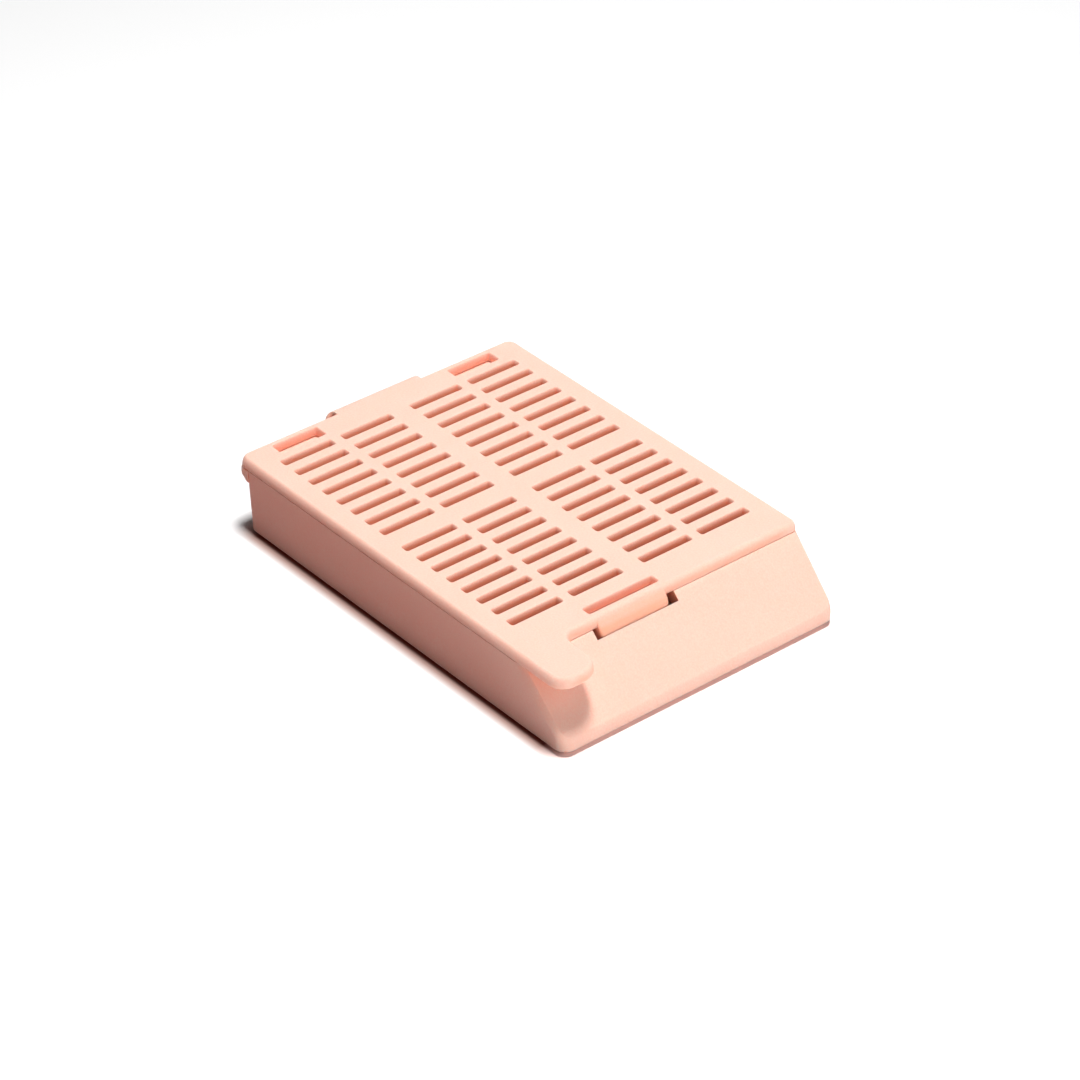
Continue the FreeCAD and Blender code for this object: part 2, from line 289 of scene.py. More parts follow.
# %% Rule the plate
bpy.ops.object.select_all(action="DESELECT")
bpy.ops.mesh.primitive_plane_add(size=1, location=(0, (lid_front + lid_back) / 2, rim))
lid = bpy.context.object
lid.name = "slotted_lid"
lid.scale = (2 * half_width, lid_back - lid_front, 1)
bpy.ops.object.transform_apply(location=True, rotation=True, scale=True)
edit(lid)
for near, far in rows:
    for y in (near, (near + far) / 2, far):
        cut(lid, (0, y, 0), (0, 1, 0))


def over_grid(face):
    return grid_front < centre(face).y < grid_back


for left, right in columns:
    cut(lid, (left, 0, 0), (1, 0, 0), over_grid)
    cut(lid, (right, 0, 0), (1, 0, 0), over_grid)
print(len(bmesh.from_edit_mesh(lid.data).faces), "cells")

# %% [markdown]
# The other openings sit in the plain borders: two windows at the back corners and, at the front, a
# slot that frees a springy bar for the latch. Cutting only the faces of a border keeps these lines out
# of the slot grid. Their long sides are ruled only between their own ends, for the same reason as above.

# %% Name the sizes of the windows and the springy bar
WINDOW_LENGTH = 4.3 * MM
WINDOW_WIDTH = 1.2 * MM
WINDOW_INSET = 2.95 * MM
WINDOW_BAR = 0.75 * MM
SPRING_BAR = 0.9 * MM
SPRING_SLOT_WIDTH = 0.75 * MM
LATCH_CENTRE = -3.15 * MM
TONGUE_WIDTH = 6.8 * MM
tongue_left = LATCH_CENTRE - TONGUE_WIDTH / 2
tongue_right = LATCH_CENTRE + TONGUE_WIDTH / 2
window_back = lid_back - WINDOW_BAR
windows = []
for left in (-half_width + WINDOW_INSET, half_width - WINDOW_INSET - WINDOW_LENGTH):
    windows.append((left, left + WINDOW_LENGTH, window_back - WINDOW_WIDTH, window_back))
spring_near = lid_front + SPRING_BAR
spring = (tongue_left, tongue_right, spring_near, spring_near + SPRING_SLOT_WIDTH)
print(f"the springy bar is {SPRING_BAR / MM:.2f} mm wide")

# %% Rule the windows and the springy bar
def behind_grid(face):
    return centre(face).y > grid_back


def ahead_of_grid(face):
    return centre(face).y < grid_front


for x in windows[0][:2] + windows[1][:2]:
    cut(lid, (x, 0, 0), (1, 0, 0), behind_grid)
for x in spring[:2] + (tab_right,):
    cut(lid, (x, 0, 0), (1, 0, 0), ahead_of_grid)
for left, right, near, far in windows + [spring]:
    cut(lid, (0, (near + far) / 2, 0), (0, 1, 0))
    for y in (near, far):
        cut(lid, (0, y, 0), (0, 1, 0), lambda face: left < centre(face).x < right and not over_grid(face))
print(len(bmesh.from_edit_mesh(lid.data).faces), "cells")

# %% Open the slots
openings = slots + windows + [spring]


def in_opening(spot):
    return any(left < spot.x < right and near < spot.y < far for left, right, near, far in openings)


print(pick(lid, "FACE", lambda face: in_opening(centre(face))), "cells opened")
bpy.ops.mesh.delete(type="FACE")

# %% [markdown]
# A finger lifts the lid by the tab at the left front corner. It is part of the same sheet, so it is
# pulled out of the sheet's front edge while that is still flat. Then the lines that have done their work
# are rubbed out, with Dissolve Edges, and the sheet gets its thickness.

# %% Pull out the finger tab
def tab_root(edge):
    spot = middle_of(edge)
    return abs(spot.y - lid_front) < NEAR and spot.x < tab_right


print(pick(lid, "EDGE", tab_root), "edge pulled out")
bpy.ops.mesh.extrude_region_move(TRANSFORM_OT_translate={"value": (0, tab_front - lid_front, 0)})

# %% Rub out the spare lines and give the sheet its thickness
middle_lines = [(near + far) / 2 for near, far in rows + [windows[0][2:], spring[2:]]]


def spare_line(edge):
    """True for a ruled line inside the sheet, except those that join the ends of the openings."""
    on_middle = any(all(abs(v.co.y - y) < NEAR for v in edge.verts) for y in middle_lines)
    return not edge.is_boundary and not on_middle


print(pick(lid, "EDGE", spare_line), "ruled lines rubbed out")
bpy.ops.mesh.dissolve_edges(use_verts=False)
print(len(bmesh.from_edit_mesh(lid.data).faces), "strips")
bpy.ops.mesh.select_all(action="SELECT")
bpy.ops.mesh.extrude_region_move(TRANSFORM_OT_translate={"value": (0, 0, top - rim)})
bpy.ops.mesh.select_all(action="SELECT")
bpy.ops.mesh.normals_make_consistent(inside=False)

# %% [markdown]
# A moulding has no sharp corners. First come the upright corners, which show from above, then the slots
# are drawn in towards the bottom so that the part can leave its mould, and last the edges are rounded. A
# bevel makes a quarter of a circle. The real rounds run down deeper than they reach in, so the ring of
# points that the bevel made is stretched downwards into a quarter of an ellipse.

# %% Round the corners seen from above
SLOT_CORNER = 0.12 * MM
corner_radii = [
    (-half_width, lid_back, LID_BACK_CORNER),
    (half_width, lid_back, LID_BACK_CORNER),
    (half_width, lid_front, LID_FRONT_CORNER),
    (-half_width, tab_front, TAB_OUTER_CORNER),
    (tab_right, tab_front, TAB_INNER_CORNER),
    (tab_right, lid_front, TAB_ROOT_ROUND),
]
for x, y, radius in corner_radii:
    count = round_edges(lid, radius, LARGE_ROUND, lambda edge: at(edge, x, y))
    print(f"{count} corner at {x / MM:.2f}, {y / MM:.2f} mm")


def opening_corner(edge):
    spot = middle_of(edge)
    return upright(edge) and any(
        min(abs(spot.x - l), abs(spot.x - r)) < NEAR and min(abs(spot.y - n), abs(spot.y - f)) < NEAR
        for l, r, n, f in openings
    )


print(round_edges(lid, SLOT_CORNER, TINY_ROUND, opening_corner), "opening corners")

# %% Taper the slots
SLOT_DRAFT = math.radians(5.0)
narrowing = (top - rim) * math.tan(SLOT_DRAFT)


def taper(piece, level, inset):
    """Draws the long walls of the slots, at a height, in towards the middle of each slot."""
    mesh = bmesh.from_edit_mesh(piece.data)
    for corner in mesh.verts:
        if abs(corner.co.z - level) > NEAR:
            continue
        for left, right, near, far in slots:
            if left - NEAR < corner.co.x < right + NEAR and near - NEAR < corner.co.y < far + NEAR:
                offset = corner.co.y - (near + far) / 2
                corner.co.y -= math.copysign(inset, offset) if abs(offset) > NEAR else 0
    bmesh.update_edit_mesh(piece.data)


taper(lid, rim, narrowing)
print(f"each slot narrows by {2 * narrowing / MM:.2f} mm")

# %% Tell the outline's edges from the openings'
STEEP = 0.5


def edge_of_wall(edge, z):
    """True for an edge at a height where one wall meets a flat face."""
    return flat_at(edge, z) and sum(abs(face.normal.z) < STEEP for face in edge.link_faces) == 1


def outer_edge(edge, z):
    spot = middle_of(edge)
    past_side = abs(spot.x) >= half_width - WINDOW_BAR
    past_end = not lid_front + WINDOW_BAR < spot.y < lid_back - WINDOW_BAR / 2
    return edge_of_wall(edge, z) and (past_side or past_end)


def inner_edge(edge, z):
    return edge_of_wall(edge, z) and not outer_edge(edge, z)


# %% Stretch a round downwards
SLOT_EDGE = 0.15 * MM
SLOT_EDGE_DEPTH = 0.62 * MM
SLOT_LOWER_EDGE = 0.25 * MM


def deepen(piece, radius, depth, where):
    """Stretches a round under the top face downwards, from a quarter of a circle to one of an ellipse."""
    for corner in bmesh.from_edit_mesh(piece.data).verts:
        below = top - corner.co.z
        if NEAR < below < radius + NEAR and where(corner.co):
            corner.co.z = top - below * depth / radius
    bmesh.update_edit_mesh(piece.data)


def by_opening(spot):
    reach = SLOT_EDGE + NEAR
    return any(l - reach < spot.x < r + reach and n - reach < spot.y < f + reach for l, r, n, f in openings)


# %% Round the lid's outer edge and soften the slots
count = round_edges(lid, LID_TOP_ROUND, LARGE_ROUND, lambda edge: outer_edge(edge, top))
deepen(lid, LID_TOP_ROUND, LID_ROUND_DEPTH, lambda corner: True)
print(count, "outline edges rounded")
count = round_edges(lid, PARTING_ROUND, TINY_ROUND, lambda edge: outer_edge(edge, rim))
print(count, "parting edges rounded")
count = round_edges(lid, SLOT_EDGE, SOFT_EDGE, lambda edge: inner_edge(edge, top))
deepen(lid, SLOT_EDGE, SLOT_EDGE_DEPTH, by_opening)
print(count, "slot edges softened")
count = round_edges(lid, SLOT_LOWER_EDGE, SMALL_ROUND, lambda edge: inner_edge(edge, rim))
print(count, "lower slot edges rounded")
only(lid)

# %% [markdown]
# Under the lid a low rib runs round just inside the tray's walls and keeps the lid in place. It is a
# frame: a block with a smaller block taken out of it. It could be extruded from the lid's underside, but
# the slots' faces are in the way there, so it is made apart and joined by a Boolean.

# %% Add the locating rib under the lid
RIB_HEIGHT = 0.8 * MM
RIB_WIDTH = 0.55 * MM
RIB_CLEARANCE = 0.2 * MM
RIB_CORNER = 1.0 * MM
RIB_SUNK = 0.1 * MM
rib_half = cavity_half - RIB_CLEARANCE
rib_front = cavity_front + RIB_CLEARANCE
rib_back = cavity_back - RIB_CLEARANCE
rib = block("rib", (-rib_half, rib_front, rim - RIB_HEIGHT), (rib_half, rib_back, rim + RIB_SUNK))
edit(rib)
round_edges(rib, RIB_CORNER, MEDIUM_ROUND, upright)
only(rib)
inside = block(
    "inside",
    (-rib_half + RIB_WIDTH, rib_front + RIB_WIDTH, rim - 2 * RIB_HEIGHT),
    (rib_half - RIB_WIDTH, rib_back - RIB_WIDTH, top),
)
edit(inside)
round_edges(inside, RIB_CORNER - RIB_WIDTH, MEDIUM_ROUND, upright)
combine(rib, inside, "DIFFERENCE")
combine(lid, rib, "UNION")

# %% [markdown]
# The latch tongue hangs under the springy bar. Its front swells out into a nose that slides over the
# edge of the notch, and steps back below it. A straight ramp would look flat, so the face is a curve,
# steep at the bottom: a block is bisected at a few levels and each level is pulled forward by a sine. It
# starts inside the lid's own round, so that the two run into each other.

# %% Shape the latch tongue
TONGUE_DEPTH = 2.2 * MM
NOSE_DROP = 1.4 * MM
NOSE_REACH = 0.55 * MM
NOSE_LAND = 0.2 * MM
TONGUE_THICKNESS = 0.7 * MM
TONGUE_SIDE_ROUND = 0.25 * MM
TONGUE_START = 0.25 * MM
TONGUE_START_INSET = 0.12 * MM
TONGUE_STEPS = 6
tongue_back = lid_front + TONGUE_THICKNESS
tongue = block(
    "tongue", (tongue_left, lid_front, top - TONGUE_DEPTH), (tongue_right, tongue_back, top - TONGUE_START)
)


def front_corner(edge):
    return upright(edge) and middle_of(edge).y < lid_front + NEAR


edit(tongue)
round_edges(tongue, TONGUE_SIDE_ROUND, SMALL_ROUND, front_corner)
face_height = NOSE_DROP - TONGUE_START
for step in range(1, TONGUE_STEPS + 1):
    cut(tongue, (0, 0, top - TONGUE_START - face_height * step / TONGUE_STEPS), (0, 0, 1))
nose_bottom = top - NOSE_DROP - NOSE_LAND
cut(tongue, (0, 0, nose_bottom), (0, 0, 1))
print(len(bmesh.from_edit_mesh(tongue.data).faces), "faces")

# %% Pull the tongue's nose forward and join it
for corner in bmesh.from_edit_mesh(tongue.data).verts:
    if corner.co.y < tongue_back - NEAR and corner.co.z > nose_bottom - NEAR:
        share = min((top - TONGUE_START - corner.co.z) / face_height, 1)
        reach = (TONGUE_START_INSET + NOSE_REACH) * math.sin(share * math.pi / 2)
        corner.co.y += TONGUE_START_INSET - reach
bmesh.update_edit_mesh(tongue.data)
only(tongue)
combine(lid, tongue, "UNION")

# %% [markdown]
# The strap leaves the lid from a thickened root at the back edge, one more block. Its upper back edge is
# stepped down by a hair, which shows as the fine line where the strap starts.

# %% Add the root that the strap leaves the lid from
ROOT_HEIGHT = 0.65 * MM
STRAP_HALF_LID = 4.3 * MM
STRAP_STEP = 0.05 * MM
root = block("root", (-STRAP_HALF_LID, window_back, top - ROOT_HEIGHT), (STRAP_HALF_LID, flange_back, top))
edit(root)
round_edges(
    root, STRAP_STEP, FAINT_STEP, lambda edge: flat_at(edge, top) and middle_of(edge).y > flange_back - NEAR
)
only(root)
combine(lid, root, "UNION")
finish_mesh(lid)

# %% [markdown]
# ## The tray
# The tray starts as a block. Its walls lean in a little towards the bottom, as a moulding's must to
# leave its mould, and one bisect turns the front of the block into the writing slope. Booleans then take
# away the specimen space and the hollow under the writing plate.

# %% Shape the outside
LIP_CORNER = 1.0 * MM
BACK_CORNER = 0.9 * MM
tray = block("slotted_tray", (-half_width, front, FOOT_HEIGHT), (half_width, wall_back, rim))
edit(tray)
for corner in bmesh.from_edit_mesh(tray.data).verts:
    if abs(corner.co.z - FOOT_HEIGHT) < NEAR:
        corner.co.x -= math.copysign(draft, corner.co.x)
        corner.co.y -= draft if corner.co.y > 0 else 0
bmesh.update_edit_mesh(tray.data)
bpy.ops.mesh.normals_make_consistent(inside=False)


def leaning(edge, y_low, y_high):
    """True for the wall-high edges in a part of the tray's length."""
    run = edge.verts[0].co - edge.verts[1].co
    return abs(run.z) > (rim - FOOT_HEIGHT) / 2 and y_low < middle_of(edge).y < y_high


count = round_edges(tray, LIP_CORNER, LARGE_ROUND, lambda edge: leaning(edge, 2 * front, 0))
count += round_edges(
    tray, BACK_CORNER, LARGE_ROUND, lambda edge: leaning(edge, wall_back - BACK_CORNER, 2 * wall_back)
)
print(count, "upright corners rounded")

# %% [markdown]
# The writing slope has soft sides and, beside them, a fine crease. To get it the slope is first cut a
# little too high, its edges are beveled there, and the second cut takes off the rest.

# %% Cut the writing slope and round its edges
SLOPE_SIDE_ROUND = 0.75 * MM
SLOPE_TRIM = 0.1 * MM
slope_normal = Vector((0, -math.sin(SLOPE), math.cos(SLOPE)))
slope_point = Vector((0, front, lip_top))
cut(tray, slope_point + slope_normal * SLOPE_TRIM, slope_normal, clear_outer=True, use_fill=True)


def rough_slope_edge(edge):
    """True for the edges of the slope as first cut, without its top edge."""
    heights = [(corner.co - slope_point).dot(slope_normal) - SLOPE_TRIM for corner in edge.verts]
    return max(abs(height) for height in heights) < NEAR and not flat_at(edge, rim)


print(round_edges(tray, SLOPE_SIDE_ROUND, LARGE_ROUND, rough_slope_edge), "slope edges rounded")
cut(tray, slope_point, slope_normal, clear_outer=True, use_fill=True)

# %% [markdown]
# The tray stands on a foot that is a little smaller than its underside, so it stacks and sits in a
# clamp. An inset draws the outline in, and an extrusion takes it down to the table.

# %% Step the foot in and down
FLAT = 0.99
print(pick(tray, "FACE", lambda face: face.normal.z < -FLAT), "face steps in and down")
bpy.ops.mesh.inset(thickness=FOOT_INSET)
bpy.ops.mesh.extrude_region_move(TRANSFORM_OT_translate={"value": (0, 0, -FOOT_HEIGHT)})
only(tray)

# %% [markdown]
# A flange runs along the top of the back wall and carries the strap's other root. It stands out behind
# the wall, so it is a block of its own with its edges rounded, joined on while the tray is still solid.

# %% Add the rear flange
FLANGE_LOWER_ROUND = 0.5 * MM
FLANGE_TOP_ROUND = 0.25 * MM
flange_low = rim - FLANGE_HEIGHT
flange = block("flange", (-half_width, cavity_back + WALL / 2, flange_low), (half_width, flange_back, rim))


def behind_wall(edge):
    return middle_of(edge).y > wall_back


edit(flange)
round_edges(flange, BACK_CORNER, LARGE_ROUND, lambda edge: upright(edge) and behind_wall(edge))
round_edges(
    flange, FLANGE_LOWER_ROUND, MEDIUM_ROUND, lambda edge: flat_at(edge, flange_low) and behind_wall(edge)
)
round_edges(flange, FLANGE_TOP_ROUND, SMALL_ROUND, lambda edge: flat_at(edge, rim) and behind_wall(edge))
only(flange)
combine(tray, flange, "UNION")

# %% Add the root of the strap
STRAP_HALF_BASE = 5.0 * MM
root = block("root", (-STRAP_HALF_BASE, wall_back, rim - ROOT_HEIGHT), (STRAP_HALF_BASE, flange_back, rim))
combine(tray, root, "UNION")

# %% [markdown]
# Three shapes are taken away: the space for the specimen, with a round all along its floor, the hollow
# under the writing plate, whose roof is cut to the plate's thickness, and the notch that the tongue drops
# into. Each is a block that is shaped first and then subtracted, which gives clean inner rounds.

# %% Hollow out the specimen space
CAVITY_CORNER = 1.0 * MM
CAVITY_FLOOR_ROUND = 0.5 * MM
space = block("space", (-cavity_half, cavity_front, FLOOR), (cavity_half, cavity_back, top))
edit(space)
round_edges(space, CAVITY_CORNER, MEDIUM_ROUND, upright)
round_edges(space, CAVITY_FLOOR_ROUND, SMALL_ROUND, lambda edge: flat_at(edge, FLOOR))
only(space)
combine(tray, space, "DIFFERENCE")

# %% Hollow out the underside of the writing plate
HOLLOW_ROUND = 0.3 * MM
front_wall = cavity_front - FRONT_WALL
lip_back = front + LIP_THICKNESS
hollow = block("hollow", (-cavity_half, lip_back, -FLOOR), (cavity_half, front_wall, rim - LAND))
edit(hollow)
cut(hollow, slope_point - slope_normal * PLATE, slope_normal, clear_outer=True, use_fill=True)
round_edges(hollow, HOLLOW_ROUND, SMALL_ROUND, lambda edge: middle_of(edge).z > -FLOOR / 2)
only(hollow)
combine(tray, hollow, "DIFFERENCE")

# %% Cut the notch that the latch tongue drops into
NOTCH_SIDE_CLEARANCE = 0.45 * MM
NOTCH_RIGHT_EXTRA = 0.4 * MM
NOTCH_FRONT_CLEARANCE = 0.05 * MM
NOTCH_BACK_CLEARANCE = 0.3 * MM
notch_left = tongue_left - NOTCH_SIDE_CLEARANCE
notch_right = tongue_right + NOTCH_SIDE_CLEARANCE + NOTCH_RIGHT_EXTRA
notch_front = lid_front - NOSE_REACH - NOTCH_FRONT_CLEARANCE
notch_back = tongue_back + NOTCH_BACK_CLEARANCE
notch = block("notch", (notch_left, notch_front, rim - LAND - PLATE), (notch_right, notch_back, top))
combine(tray, notch, "DIFFERENCE")

# %% [markdown]
# The floor has the same slots as the lid. Here the two faces of the floor are ruled and opened, and
# each pair of square holes is bridged, which gives the slot its walls.

# %% Rule the floor
def floor_face(face):
    spot = centre(face)
    level = abs(face.normal.z) > FLAT and min(abs(spot.z), abs(spot.z - FLOOR)) < NEAR
    return level and cavity_front < spot.y < cavity_back


def underside(face):
    return face.normal.z < -FLAT and abs(centre(face).z) < NEAR


def between_rows(face):
    return floor_face(face) and over_grid(face)


edit(tray)
for y in (cavity_front, cavity_back):
    cut(tray, (0, y, 0), (0, 1, 0), underside)
for y in (y for row in rows for y in row):
    cut(tray, (0, y, 0), (0, 1, 0), floor_face)
for x in (x for column in columns for x in column):
    cut(tray, (x, 0, 0), (1, 0, 0), between_rows)
print(len(bmesh.from_edit_mesh(tray.data).faces), "faces")

# %% Open the floor's slots
def in_slot(face):
    spot = centre(face)
    return floor_face(face) and any(l < spot.x < r and n < spot.y < f for l, r, n, f in slots)


print(pick(tray, "FACE", in_slot), "cells opened")
bpy.ops.mesh.delete(type="FACE")


def rim_of_slot(edge, left, right, near, far):
    spot = middle_of(edge)
    inside = left - NEAR < spot.x < right + NEAR and near - NEAR < spot.y < far + NEAR
    return edge.is_boundary and inside


for slot in slots:
    pick(tray, "EDGE", lambda edge: rim_of_slot(edge, *slot))
    bpy.ops.mesh.bridge_edge_loops()
finish_mesh(tray)

# %% [markdown]
# ## The strap hinge
# A thin web folds from the tray's flange round to the lid. In Blender a fold is a spin: one edge, turned
# half a circle about the line of the fold, then thickened. The edge comes from a narrow plane whose
# front side is deleted.

# %% Lay the edge that the spin starts from
STRAP_THICKNESS = 0.3 * MM
PLANE_DEPTH = 1.0 * MM
fold_middle = (strap_low[2] + strap_high[2]) / 2
fold_radius = (strap_high[2] - strap_low[2] - STRAP_THICKNESS) / 2
fold_bottom = fold_middle - fold_radius
bpy.ops.object.select_all(action="DESELECT")
bpy.ops.mesh.primitive_plane_add(size=1, location=(0, flange_back, fold_bottom))
strap = bpy.context.object
strap.name = "strap"
strap.scale = (2 * STRAP_HALF_BASE, PLANE_DEPTH, 1)
bpy.ops.object.transform_apply(location=True, rotation=True, scale=True)
edit(strap)
pick(strap, "EDGE", lambda edge: middle_of(edge).y < flange_back - PLANE_DEPTH / 4)
bpy.ops.mesh.delete(type="VERT")
bpy.ops.mesh.select_all(action="SELECT")
bpy.ops.transform.translate(value=(0, -PLANE_DEPTH / 2, 0))
print(len(bmesh.from_edit_mesh(strap.data).edges), "edge")

# %% Spin the strap, narrow it towards the lid and thicken it
FOLD_STEPS = 24
bpy.ops.mesh.spin(
    steps=FOLD_STEPS,
    angle=-math.pi,
    center=(0, flange_back, fold_middle),
    axis=(1, 0, 0),
    use_auto_merge=False,
)
for corner in bmesh.from_edit_mesh(strap.data).verts:
    share = (corner.co.z - fold_bottom) / (2 * fold_radius)
    half = STRAP_HALF_BASE + (STRAP_HALF_LID - STRAP_HALF_BASE) * share
    corner.co.x = math.copysign(half, corner.co.x)
bmesh.update_edit_mesh(strap.data)
only(strap)
thick = strap.modifiers.new("thickness", "SOLIDIFY")
thick.thickness = STRAP_THICKNESS
thick.offset = 0
bpy.ops.object.modifier_apply(modifier=thick.name)
finish_mesh(strap)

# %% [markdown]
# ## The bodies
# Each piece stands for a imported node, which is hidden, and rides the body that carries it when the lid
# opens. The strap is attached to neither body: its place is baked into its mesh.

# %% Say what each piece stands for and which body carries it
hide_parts("lid")
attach(lid, "lid")
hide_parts("base")
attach(tray, "tray")
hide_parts("strap_hinge")
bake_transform(strap)
pieces = (lid, tray, strap)
print("placed:", [piece.name for piece in pieces])

# %% [markdown]
# ## Camera
# The camera stands at the front left and looks down at the slope. A long lens keeps the edges nearly
# parallel. Its axes are worked out from the two angles, with a slight roll, and set as a matrix.

# %% Aim the camera
LENS_MM = 134.7
DISTANCE = 310.62 * MM
AZIMUTH = math.radians(-40.387)
ELEVATION = math.radians(34.446)
ROLL = math.radians(0.631)
target = Vector((-3.19 * MM, lid_front + 10.663 * MM, top))

away = Vector((math.sin(AZIMUTH), -math.cos(AZIMUTH), 0)) * math.cos(ELEVATION)
away.z = math.sin(ELEVATION)
right = Vector((math.cos(AZIMUTH), math.sin(AZIMUTH), 0))
up = away.cross(right)
rolled_right = right * math.cos(ROLL) + up * math.sin(ROLL)
rolled_up = up * math.cos(ROLL) - right * math.sin(ROLL)

camera_data = bpy.data.cameras.new("camera")
camera_data.lens = LENS_MM
camera = bpy.data.objects.new("camera", camera_data)
bpy.context.collection.objects.link(camera)
axes = Matrix((rolled_right, rolled_up, away)).transposed().to_4x4()
camera.matrix_world = Matrix.Translation(target + away * DISTANCE) @ axes
bpy.context.scene.camera = camera
print("camera at", [round(value / MM, 1) for value in camera.matrix_world.translation], "mm")

# %% [markdown]
# ## Shader maths
# A material's look is arithmetic on patterns. Joining Math nodes by hand is slow to read, so one small
# class wraps a node's output and turns +, - and * into Math nodes. Every other node comes from one
# method that takes its type, its settings and what goes into its sockets.

# %% Wrap a node's output
class Wire:
    def __init__(self, finish, socket):
        self.finish = finish
        self.socket = socket

    def maths(self, operation, first, second):
        return self.finish.node("ShaderNodeMath", {"operation": operation}, {0: first, 1: second})

    def __add__(self, other):
        return self.maths("ADD", self, other)

    def __radd__(self, other):
        return self.maths("ADD", other, self)

    def __sub__(self, other):
        return self.maths("SUBTRACT", self, other)

    def __rsub__(self, other):
        return self.maths("SUBTRACT", other, self)

    def __mul__(self, other):
        return self.maths("MULTIPLY", self, other)

    def __rmul__(self, other):
        return self.maths("MULTIPLY", other, self)

    def at_least(self, other):
        return self.maths("MAXIMUM", self, other)


# %% Gather a finish's nodes
class Finish:
    """The node tree of a material or a world."""

    def __init__(self, owner):
        owner.use_nodes = True
        self.tree = owner.node_tree
        self.tree.nodes.clear()

    def node(self, kind, settings=None, sockets=None, output=0):
        """Adds a node: settings first, then a value or a wire for each named or numbered socket."""
        added = self.tree.nodes.new(kind)
        for name, value in (settings or {}).items():
            setattr(added, name, value)
        for name, value in (sockets or {}).items():
            if isinstance(value, Wire):
                self.tree.links.new(value.socket, added.inputs[name])
            else:
                added.inputs[name].default_value = value
        return Wire(self, added.outputs[output]) if len(added.outputs) else None

    def place(self):
        """Where a point lies on the object, as a vector and as its three parts."""
        vector = self.node("ShaderNodeTexCoord", output="Object")
        split = {"Vector": vector}
        return [vector] + [self.node("ShaderNodeSeparateXYZ", sockets=split, output=axis) for axis in "XYZ"]

    def blend(self, share, first, second):
        """A Mix node on colours: the first at share 0, the second at share 1."""
        FACTOR, COLOUR_A, COLOUR_B, RESULT = 0, 6, 7, 2
        sockets = {FACTOR: share, COLOUR_A: first, COLOUR_B: second}
        return self.node("ShaderNodeMix", {"data_type": "RGBA"}, sockets, RESULT)

    def ramp(self, value, start, end):
        """0 before the start, 1 past the end and even between them; the end may lie on either side."""
        sockets = {"Value": value, "From Min": start, "From Max": end}
        return self.node("ShaderNodeMapRange", sockets=sockets)

    def within(self, value, reach, edge):
        """1 where a value lies nearer to 0 than a reach, fading to 0 over an edge."""
        return self.ramp(value * value, (reach + edge) ** 2, reach**2)


# %% [markdown]
# ## The acetal
# Acetal is waxy: light sinks in a little, spreads and comes out pinker, so shaded walls and slots glow
# instead of going grey. Subsurface scattering does this. The mould's spark-eroded surface gives a fine
# grain in the colour, the gloss and the relief.
#
# Deep in an opening the light bounces from wall to wall, and each bounce takes more green and blue out
# of it. A renderer shows a part of that. For the rest a deeper pink is painted on the walls of the openings
# as shade, in place of that bounced light. The walls are found by their place: below the lid's top face and
# off its sides, and in the notch.

# %% Find the walls of the lid's openings
GRID_FADE = 0.2 * MM
GRID_REACH = 0.1 * MM
IN_BORDER = 0.45
acetal = bpy.data.materials.new("acetal")
finish = Finish(acetal)
place, across, depth, height = finish.place()
# Where the painted shade goes: the walls of the lid's openings, below its top face and off its sides.
in_plate = finish.ramp(height, top - 0.1 * MM, top - 0.45 * MM)
in_plate = in_plate * finish.ramp(height, rim, rim + 0.15 * MM)
off_sides = finish.within(across, half_width - 2 * MM, MM)
in_grid = finish.ramp(depth, grid_front - GRID_REACH - GRID_FADE, grid_front - GRID_REACH)
in_grid = in_grid * finish.ramp(depth, grid_back + GRID_REACH + GRID_FADE, grid_back + GRID_REACH)
in_openings = in_plate * off_sides * (IN_BORDER + (1 - IN_BORDER) * in_grid)
print("nodes so far:", len(finish.tree.nodes))

# %% Find the walls of the notch
IN_NOTCH = 0.8
NOTCH_EDGE = 0.03 * MM
notch_middle = (notch_left + notch_right) / 2
notch_half = (notch_right - notch_left) / 2
in_notch = finish.ramp(height, top - 0.3 * MM, top - 0.9 * MM)
in_notch = in_notch * finish.ramp(depth, notch_front - NOTCH_EDGE, notch_front + NOTCH_EDGE)
in_notch = in_notch * finish.ramp(depth, notch_back + 0.1 * MM, notch_back)
in_notch = in_notch * finish.within(across - notch_middle, notch_half, 0.05 * MM)
walls = in_openings.at_least(IN_NOTCH * in_notch)
print("nodes so far:", len(finish.tree.nodes))

# %% Mix the acetal
PINK = (0.97, 0.48, 0.37, 1)
PALE_PINK = (0.985, 0.665, 0.56, 1)
PAINTED_SHADE_PINK = (0.975, 0.4, 0.255, 1)
GRAIN_PER_METRE = 7000
MOTTLE_PER_METRE = 260
GRAIN_SHARE = 0.85
LEAST_ROUGH = 0.42
ROUGH_RANGE = 0.16
SCATTER_RADII = (1.0, 0.8, 0.7)
SCATTER = 0.25 * MM


def noise(per_metre, detail):
    return finish.node("ShaderNodeTexNoise", sockets={"Vector": place, "Scale": per_metre, "Detail": detail})


grain = noise(GRAIN_PER_METRE, detail=2.0)
mottle = noise(MOTTLE_PER_METRE, detail=3.0)
colour = finish.blend((1 - GRAIN_SHARE) * mottle + GRAIN_SHARE * grain, PINK, PALE_PINK)
# Painted shade: the walls of the openings and the notch take a deeper pink in place of bounced light.
colour = finish.blend(walls, colour, PAINTED_SHADE_PINK)
bump = finish.node("ShaderNodeBump", sockets={"Strength": 0.7, "Distance": 0.03 * MM, "Height": grain})
surface = finish.node(
    "ShaderNodeBsdfPrincipled",
    {"subsurface_method": "RANDOM_WALK"},
    {
        "Base Color": colour,
        "Roughness": LEAST_ROUGH + ROUGH_RANGE * grain,
        "Normal": bump,
        "IOR": 1.48,
        "Subsurface Weight": 1.0,
        "Subsurface Radius": SCATTER_RADII,
        "Subsurface Scale": SCATTER,
        "Specular IOR Level": 0.25,
    },
)
finish.node("ShaderNodeOutputMaterial", sockets={"Surface": surface})
for piece in pieces:
    piece.data.materials.clear()
    piece.data.materials.append(acetal)
